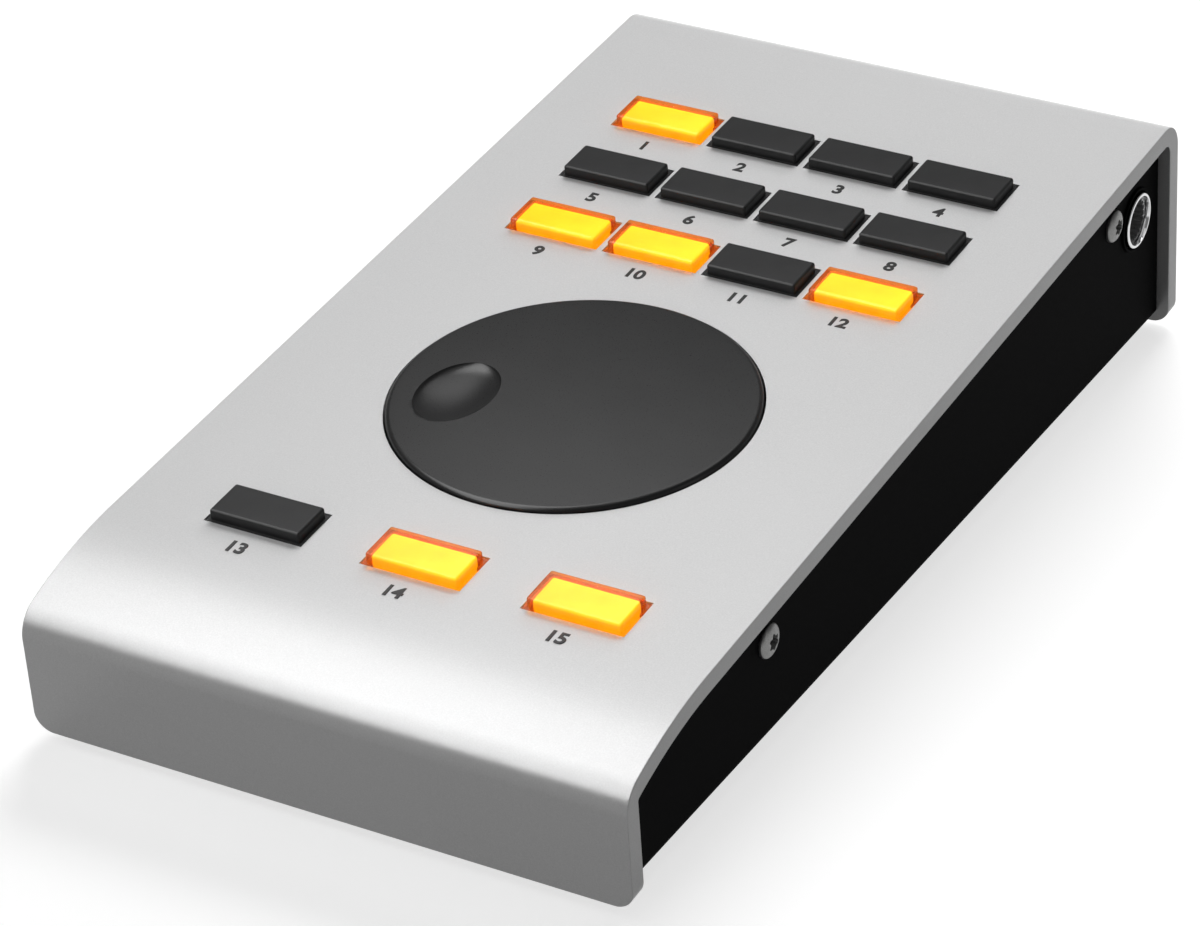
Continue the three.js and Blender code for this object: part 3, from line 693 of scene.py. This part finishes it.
# %% Printed numbers
ink = Finish("black_ink", Metallic=0.0, Specular_IOR_Level=0.4)
ink.colour(ink.blend(ink.grain(0.3), (0.006, 0.006, 0.006), (0.012, 0.012, 0.012)))
ink.roughness(ink.spread(ink.grain(0.3), 0.45, 0.6))
digit_height = 2.35
digit_share_of_size = 0.7
number_before_key = 7.95
ink_lift = 0.008


def printed(number, across, along):
    """Put a number on the plate and say how high it came out."""
    text = bpy.data.curves.new("digits", "FONT")
    text.body = str(number)
    text.size = digit_height / digit_share_of_size
    text.align_x = "CENTER"
    text.align_y = "CENTER"
    text.offset = 0.07
    text.extrude = 0.005
    text.bevel_depth = 0.06
    text.bevel_resolution = 0
    letters = bpy.data.objects.new("digits", text)
    bpy.context.scene.collection.objects.link(letters)
    depsgraph = bpy.context.evaluated_depsgraph_get()
    mesh = bpy.data.meshes.new_from_object(letters.evaluated_get(depsgraph))
    bpy.data.objects.remove(letters)
    piece = bpy.data.objects.new(f"number_{number}", mesh)
    bpy.context.scene.collection.objects.link(piece)
    left, right = (pick(vertex.co.x for vertex in mesh.vertices) for pick in (min, max))
    bottom, top = (pick(vertex.co.y for vertex in mesh.vertices) for pick in (min, max))
    centre = Matrix.Translation((-(left + right) / 2, -(bottom + top) / 2, 0))
    mesh.transform(on_plate(across, along, ink_lift) @ shrink @ centre)
    dress(piece, ink.material, "inner_black", "case")
    return top - bottom


for number, (across, along) in enumerate(key_places, start=1):
    printed_height = printed(number, across, along - number_before_key)
print("digit height in mm:", round(printed_height, 2))

# %% [markdown]
# ## Side screws
# Four button-head screws hold the tray to rails under the plate. Their heads are shallow domes with a
# six-lobed socket. A ready primitive has no such socket, so the dome is spun from its profile and the
# socket is cut with a wavy outline.

# %% Dark nickel
nickel = Finish("dark_nickel", Metallic=1.0)
nickel_grain = nickel.grain(0.12, detail=2)
nickel.tones(nickel_grain, (0.16, 0.16, 0.157), (0.23, 0.23, 0.226))
nickel.roughness(nickel.spread(nickel.grain(0.6), 0.34, 0.46))
nickel.bumps(nickel_grain, 0.003, 0.5)
print("finish:", nickel.material.name)

# %% Make the four screws
head_radius, head_height, head_rim = 2.6, 1.2, 0.3
shank_radius, shank_end = 1.5, -7.5
tip_radius, tip_start = 1.3, -7.2
lobes, lobe_reach, lobe_wave, lobe_depth = 6, 1.35, 0.14, 0.95
socket_edge = 0.05
dome = [(head_radius * a, head_rim + (head_height - head_rim) * b) for a, b in arc(0, 0, 1, 0, 90, 16)]
dome[-1] = (0, head_height)
screw_profile = [(0, shank_end), (tip_radius, shank_end), (shank_radius, tip_start)]
screw_profile += [(shank_radius, 0), (head_radius, 0)] + dome


def lobed(angle):
    """How far out the socket reaches, with a lobe wherever the cosine is high."""
    return lobe_reach * (1 - lobe_wave + lobe_wave * math.cos(lobes * angle))


lobed_hole = polar_outline(lobed, 96)
for side_name, side in (("left", -1), ("right", 1)):
    for end_name, along in screw_places.items():
        screw = as_object(f"button_screw_{end_name}_{side_name}", spun(screw_profile, 64))
        carve(screw, [bar(lobed_hole, "z", head_height - lobe_depth, head_height + short_overrun)])
        round_edges(screw, socket_edge, segments=2, sharper_than=50)
        stand = Matrix.Rotation(side * math.pi / 2, 4, "Y")
        screw.data.transform(on_plate(side * tray_half, along, screw_up) @ stand @ shrink)
        smooth(screw)
        dress(screw, nickel.material, "screw_steel", "case", f"side_screw_{end_name}_{side_name}")

# %% [markdown]
# ## The jack
# The jack is a chromed sleeve with a thin rounded lip that opens like a funnel, in a black ring.
# Behind it a black block holds a grey liner with fine ridges along its bore, which show as soft
# stripes. They could be faked with stripes of colour. A bore outline with real ridges shades
# correctly from every side.

# %% Chrome, black plastic and the grey liner
chrome = Finish("polished_chrome", Metallic=1.0)
chrome.colour(chrome.blend(chrome.grain(2), (0.6, 0.6, 0.605), (0.68, 0.68, 0.685)))
chrome.roughness(chrome.spread(chrome.grain(0.8), 0.07, 0.13))

moulded = Finish("black_moulding", Metallic=0.0, Specular_IOR_Level=0.5)
moulded_grain = moulded.grain(0.3, detail=2)
moulded.tones(moulded_grain, (0.010, 0.010, 0.0105), (0.015, 0.015, 0.0155))
moulded.roughness(moulded.spread(moulded_grain, 0.3, 0.42))
moulded.bumps(moulded_grain, 0.006, 0.4)

liner_metal = Finish("grey_liner", Metallic=0.7)
liner_grain = liner_metal.grain(0.3, detail=2)
liner_metal.tones(liner_grain, (0.46, 0.46, 0.46), (0.54, 0.54, 0.54))
liner_metal.roughness(liner_metal.spread(liner_grain, 0.2, 0.27))
print("finishes:", chrome.material.name, moulded.material.name, liner_metal.material.name)

# %% Sleeve and ring
sleeve_foot, sleeve_face = 44.3, 47.0
sleeve_radius, lip_round = 4.5, 0.2
funnel_radius, sleeve_bore = 4.02, 3.76
funnel_depth = 0.8
funnel_end = sleeve_face - funnel_depth
sleeve_profile = [(sleeve_radius, sleeve_foot)]
sleeve_profile += arc(sleeve_radius - lip_round, sleeve_face - lip_round, lip_round, 0, 90, 6)
sleeve_profile += [(funnel_radius, sleeve_face), (sleeve_bore, funnel_end), (sleeve_bore, sleeve_foot)]
lie_along_x = Matrix.Rotation(math.pi / 2, 4, "Y")
jack_frame = on_plate(0, jack_along, jack_up)
sleeve = as_object("jack_sleeve_chrome", spun(sleeve_profile, 128))
sleeve.data.transform(jack_frame @ lie_along_x @ shrink)
smooth(sleeve)
dress(sleeve, chrome.material, "jack_chrome", "case", "jack_sleeve")

ring_outside, ring_back, ring_face, ring_round = 5.3, 46.1, 46.5, 0.12
ring_profile = [(jack_hole, ring_back), (ring_outside, ring_back)]
ring_profile += arc(ring_outside - ring_round, ring_face - ring_round, ring_round, 0, 90, 4)
ring_profile += arc(jack_hole + ring_round, ring_face - ring_round, ring_round, 90, 180, 4)
ring = as_object("jack_ring", spun(ring_profile, 128))
ring.data.transform(jack_frame @ lie_along_x @ shrink)
smooth(ring)
dress(ring, powder.material, "inner_black", "case", "jack_washer")

# %% The jack's body and its ridged liner
body_width, body_back, bore_end = 11.4, 18.3, 22.1
body = as_object("jack_body_block", bar(centred_box(body_width, body_width), "x", body_back, sleeve_foot))
carve(body, [bar(circle(sleeve_bore, 96), "x", bore_end, sleeve_face)])
body.data.transform(jack_frame @ shrink)
smooth(body, 60)
dress(body, moulded.material, "inner_black", "case", "jack_body")

liner_room = 0.05
liner_outline = circle(sleeve_bore - liner_room, 96)
liner = as_object("jack_liner", bar(liner_outline, "x", bore_end + liner_room, funnel_end - liner_room))
ridges, steps_per_ridge, ridge_sharpness = 20, 12, 3
valley, ridge_height = 3.6, 0.4


def ridged(angle):
    """How far out the bore reaches, with a ridge wherever the cosine is high."""
    return valley - ridge_height * max(0, math.cos(ridges * angle)) ** ridge_sharpness


ridged_bore = polar_outline(ridged, ridges * steps_per_ridge)
carve(liner, [bar(ridged_bore, "x", bore_end - short_overrun, sleeve_face)])
liner.data.transform(jack_frame @ shrink)
smooth(liner, 60)
dress(liner, liner_metal.material, "screw_steel", "case")

# %% [markdown]
# ## The socket in the rear wall
# The lead to the computer plugs into a square socket in the rear wall: a thin steel shell with a black
# insert and a tongue that carries four contacts. A dark patch would do from afar. Seen from behind it
# is the only detail on that wall, so it is cut to its full depth, and each contact is a strip of its own.

# %% The shell
socket_middle = -22.2
shell_width, shell_height, shell_length, shell_wall = 12.0, 11.0, 16.5, 0.5
shell_rounding, shell_edge = 0.45, 0.06
shell_back = case_length - shell_length
shell_outline = centred_box(shell_width, shell_height, 0, socket_middle)
shell_hole = centred_box(shell_width - 2 * shell_wall, shell_height - 2 * shell_wall, 0, socket_middle)
shell = as_object("rear_socket_shell", bar(shell_outline, "y", shell_back, case_length))
round_edges(shell, shell_rounding, segments=3, sharper_than=80)
carve(shell, [bar(shell_hole, "y", shell_back + shell_wall, case_length + overrun)])
round_edges(shell, shell_edge, segments=2, sharper_than=80)
shell.data.transform(plate)
smooth(shell)
dress(shell, nickel.material, "screw_steel", "case", "usb_socket")

# %% The insert with its tongue
insert_width, insert_height, insert_back = 10.8, 9.8, 167.8
insert_inset, insert_rounding = 0.1, 0.15
insert_face = case_length - insert_inset
insert_outline = centred_box(insert_width, insert_height, 0, socket_middle)
insert = as_object("rear_socket_insert", bar(insert_outline, "y", insert_back, insert_face))
mouth_side, mouth_rise, mouth_chamfer, mouth_depth = 4.25, 3.9, 1.6, 9.0
shoulder_side, shoulder_rise = mouth_side - mouth_chamfer, mouth_rise - mouth_chamfer
mouth = [(-mouth_side, -mouth_rise), (mouth_side, -mouth_rise), (mouth_side, shoulder_rise)]
mouth += [(shoulder_side, mouth_rise), (-shoulder_side, mouth_rise), (-mouth_side, shoulder_rise)]
mouth = [(a, socket_middle + b) for a, b in mouth]
carve(insert, [bar(mouth, "y", insert_face - mouth_depth, insert_face + overrun)])
tongue_width, tongue_height, tongue_back, tongue_front = 5.6, 3.2, 9.5, 1.6
tongue = centred_box(tongue_width, tongue_height, 0, socket_middle)
carve(insert, [bar(tongue, "y", insert_face - tongue_back, insert_face - tongue_front)], "UNION")
round_edges(insert, insert_rounding, segments=2, sharper_than=40)
insert.data.transform(plate)
smooth(insert)
dress(insert, moulded.material, "inner_black", "case", "usb_insulator")

# %% Four contacts
contact_across, contact_width, contact_edge = 1.25, 1.0, 0.04
contact_thickness, contact_sunk = 0.15, 0.05
contact_back, contact_front = insert_face - 8.8, insert_face - 1.9
tongue_side = tongue_height / 2 + contact_thickness / 2 - contact_sunk
for row_name, rise in (("top", tongue_side), ("bottom", -tongue_side)):
    for column_name, across in (("left", contact_across), ("right", -contact_across)):
        strip = centred_box(contact_width, contact_thickness, across, socket_middle + rise)
        contact = as_object(f"contact_{row_name}_{column_name}", bar(strip, "y", contact_back, contact_front))
        round_edges(contact, contact_edge, segments=2, sharper_than=60)
        contact.data.transform(plate)
        smooth(contact)
        dress(contact, chrome.material, "jack_chrome", "case")

# %% [markdown]
# ## Rubber feet
# Four rubber discs lift the tray off the table. Their lower edge is rounded so that they don't peel off
# when the case is pushed, and a shallow hollow in the middle helps them grip. They could be plain
# cylinders, but both details show from below, so they are spun from a profile like the other round pieces.

# %% Rubber and the feet
rubber = Finish("black_rubber", Metallic=0.0, Specular_IOR_Level=0.3)
rubber_grain = rubber.grain(0.5, detail=3)
rubber.tones(rubber_grain, (0.012, 0.012, 0.012), (0.022, 0.022, 0.022))
rubber.roughness(rubber.spread(rubber_grain, 0.75, 0.9))
rubber.bumps(rubber_grain, 0.03, 0.5)
foot_radius, foot_height, foot_rounding = 4.5, 2.6, 0.4
hollow_inside, hollow_outside, hollow_depth = 2.6, 2.8, 0.15
foot_profile = [(0, hollow_depth), (hollow_inside, hollow_depth), (hollow_outside, 0)]
foot_profile += arc(foot_radius - foot_rounding, foot_rounding, foot_rounding, -90, 0, 6)
foot_profile += [(foot_radius, foot_height), (0, foot_height)]
for end_name in ("front", "rear"):
    for side_name in ("left", "right"):
        node = f"rubber_foot_{end_name}_{side_name}"
        low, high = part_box(node)
        foot = as_object(f"foot_{end_name}_{side_name}", spun(foot_profile, 64))
        centre = (low + high) / 2
        foot.data.transform(Matrix.Translation((centre.x, centre.y, low.z)) @ shrink)
        smooth(foot)
        dress(foot, rubber.material, "foot_rubber", "case", node)

# %% [markdown]
# ## What stays inside
# The rails, the circuit board, the switch strips and the encoder can only be glimpsed through narrow
# gaps. They could be made again like the outside, but nobody would see the difference. Their solids are
# right as they are, so they stay and only get a finish.

# %% Finish the inner pieces
board = Finish("green_board", Metallic=0.0, Roughness=0.45)
traces = board.spread(board.grain(2.5, detail=4), 0, 1, start=0.45, end=0.55)
board.colour(board.blend(traces, (0.008, 0.07, 0.03), (0.012, 0.10, 0.045)))

drawn_lines = (1, 0.05, 1)
rail = Finish("raw_aluminium", Metallic=1.0)
rail.colour(rail.blend(rail.grain(0.4, stretch=drawn_lines), (0.42, 0.42, 0.43), (0.52, 0.52, 0.53)))
rail.roughness(rail.spread(rail.grain(0.4, stretch=drawn_lines), 0.35, 0.5))

inner_finishes = {
    "side_rail": rail,
    "main_board": board,
    "switch_bank": moulded,
    "encoder_body": moulded,
    "board_screw": nickel,
    "dial_shaft": nickel,
}
for node_name, solid in frame["nodes"].items():
    for start, finish in inner_finishes.items():
        if node_name.startswith(start):
            solid.data.materials.clear()
            solid.data.materials.append(finish.material)
print("inner pieces finished")

# %% [markdown]
# ## Table, backdrop and light
# The case stands on a white ground. Lighting a grey floor until it turns white would burn out the
# cover. So the floor adds a little light of its own only where the camera, gloss or clear pieces see it
# directly. It doesn't light the case any more than a grey table would, and it still takes the shadow.

# %% A pale floor
floor_shape = bmesh.new()
bmesh.ops.create_grid(floor_shape, x_segments=8, y_segments=8, size=6)
floor = as_object("table_top", floor_shape)
pale = Finish("pale_table", Metallic=0.0, Roughness=0.8, Specular_IOR_Level=0.1)


def seen_directly(nodes, links):
    """1 for rays from the camera, from gloss and through clear pieces, and 0 for the others."""
    path = nodes.new("ShaderNodeLightPath")
    total = path.outputs["Is Camera Ray"]
    for name in ("Is Glossy Ray", "Is Transmission Ray"):
        either = nodes.new("ShaderNodeMath")
        either.operation = "MAXIMUM"
        links.new(total, either.inputs[0])
        links.new(path.outputs[name], either.inputs[1])
        total = either.outputs[0]
    return total


floor_glow = 0.7
pale_seen = seen_directly(pale.nodes, pale.links)
pale.colour(pale.blend(pale_seen, (0.10, 0.10, 0.10), (0.40, 0.40, 0.40)))
pale.shader.inputs["Emission Color"].default_value = (1, 1, 1, 1)
own_light = pale.nodes.new("ShaderNodeMath")
own_light.operation = "MULTIPLY"
own_light.inputs[1].default_value = floor_glow
pale.links.new(pale_seen, own_light.inputs[0])
pale.links.new(own_light.outputs[0], pale.shader.inputs["Emission Strength"])
pale.material.cycles.emission_sampling = "NONE"
floor.data.materials.append(pale.material)
print("floor glow:", floor_glow)

# %% [markdown]
# A studio has pale walls round its table. They light the case only a little, but glossy and clear
# pieces mirror them. So the sky is dim in the light that it casts, and brighter where it is seen. A
# picture of a studio could be wrapped round the scene. A short fade up from the horizon is enough,
# because every mirror image on this case is soft.

# %% The sky
world = bpy.data.worlds.new("studio")
bpy.context.scene.world = world
world.use_nodes = True
world_nodes = world.node_tree.nodes
world_links = world.node_tree.links
background = world_nodes["Background"]
mix = world_nodes.new("ShaderNodeMix")
mix.data_type = "RGBA"
mix.inputs[FIRST_COLOUR].default_value = (0.07, 0.07, 0.07, 1)
direction = world_nodes.new("ShaderNodeTexCoord")
parts = world_nodes.new("ShaderNodeSeparateXYZ")
fade = world_nodes.new("ShaderNodeMapRange")
fade.inputs["From Max"].default_value = 0.12
fade.inputs["To Min"].default_value = 0.85
fade.inputs["To Max"].default_value = 0.22
world_links.new(direction.outputs["Generated"], parts.inputs["Vector"])
world_links.new(parts.outputs["Z"], fade.inputs["Value"])
world_links.new(fade.outputs["Result"], mix.inputs[SECOND_COLOUR])
world_links.new(seen_directly(world_nodes, world_links), mix.inputs["Factor"])
world_links.new(mix.outputs[MIXED_COLOUR], background.inputs["Color"])
print("sky nodes:", len(world_nodes))

# %% [markdown]
# The top is evenly bright, the long front curve is the brightest part and the front wall falls into
# shade. One big lamp can't give all three, so each lamp has one task. A softbox overhead and two lamps
# far behind light the plate, and their shade falls in front of the keys and the dial. A softbox above
# the rear is the mirror image on the dial, and a long tilted reflector is the bright band on the front
# curve. These two show in gloss alone. Two weak lamps fill the front wall and the right side.

# %% Seven lamps
middle_of_case = (0, 0, 0.02)


def softbox(name, place, target, width, depth, power, diffuse=True, glossy=True):
    """A rectangular lamp that looks from one point at another, in metres and watts."""
    lamp = bpy.data.lights.new(name, "AREA")
    lamp.shape = "RECTANGLE"
    lamp.size = width
    lamp.size_y = depth
    lamp.energy = power
    holder = bpy.data.objects.new(name, lamp)
    bpy.context.scene.collection.objects.link(holder)
    away = (Vector(place) - Vector(target)).normalized()
    across = Vector((0, 1, 0)).cross(away).normalized()
    turn = Matrix((across, away.cross(across), away)).transposed().to_4x4()
    holder.matrix_world = Matrix.Translation(place) @ turn
    holder.visible_camera = False
    holder.visible_diffuse = diffuse
    holder.visible_glossy = glossy


softbox("overhead_softbox", (-0.08, -0.05, 0.47), (-0.08, -0.05, 0), width=0.5, depth=0.36, power=0.35)
softbox("rear_softbox", (-0.09, 0.28, 0.48), middle_of_case, width=0.45, depth=0.2, power=0.7, diffuse=False)
softbox("high_rear_lamp", (-0.5, 1.7, 1.6), middle_of_case, width=1.2, depth=0.7, power=46, glossy=False)
softbox("low_rear_lamp", (-0.15, 1.3, 0.62), middle_of_case, width=1.0, depth=0.32, power=10, glossy=False)
softbox("side_fill", (0.5, 0.0, 0.14), (0.048, 0.03, 0.025), width=0.25, depth=0.15, power=0.1)
softbox("front_fill", (-0.35, -1.1, 0.12), (0, -0.09, 0.02), width=0.5, depth=0.3, power=1.9, glossy=False)
over_front, before_front = (-0.15, -0.225, 0.274), (-0.15, -0.145, -0.006)
softbox("front_reflector", over_front, before_front, width=0.26, depth=0.62, power=3.75, diffuse=False)

# %% View settings
bpy.context.scene.view_settings.view_transform = "Standard"
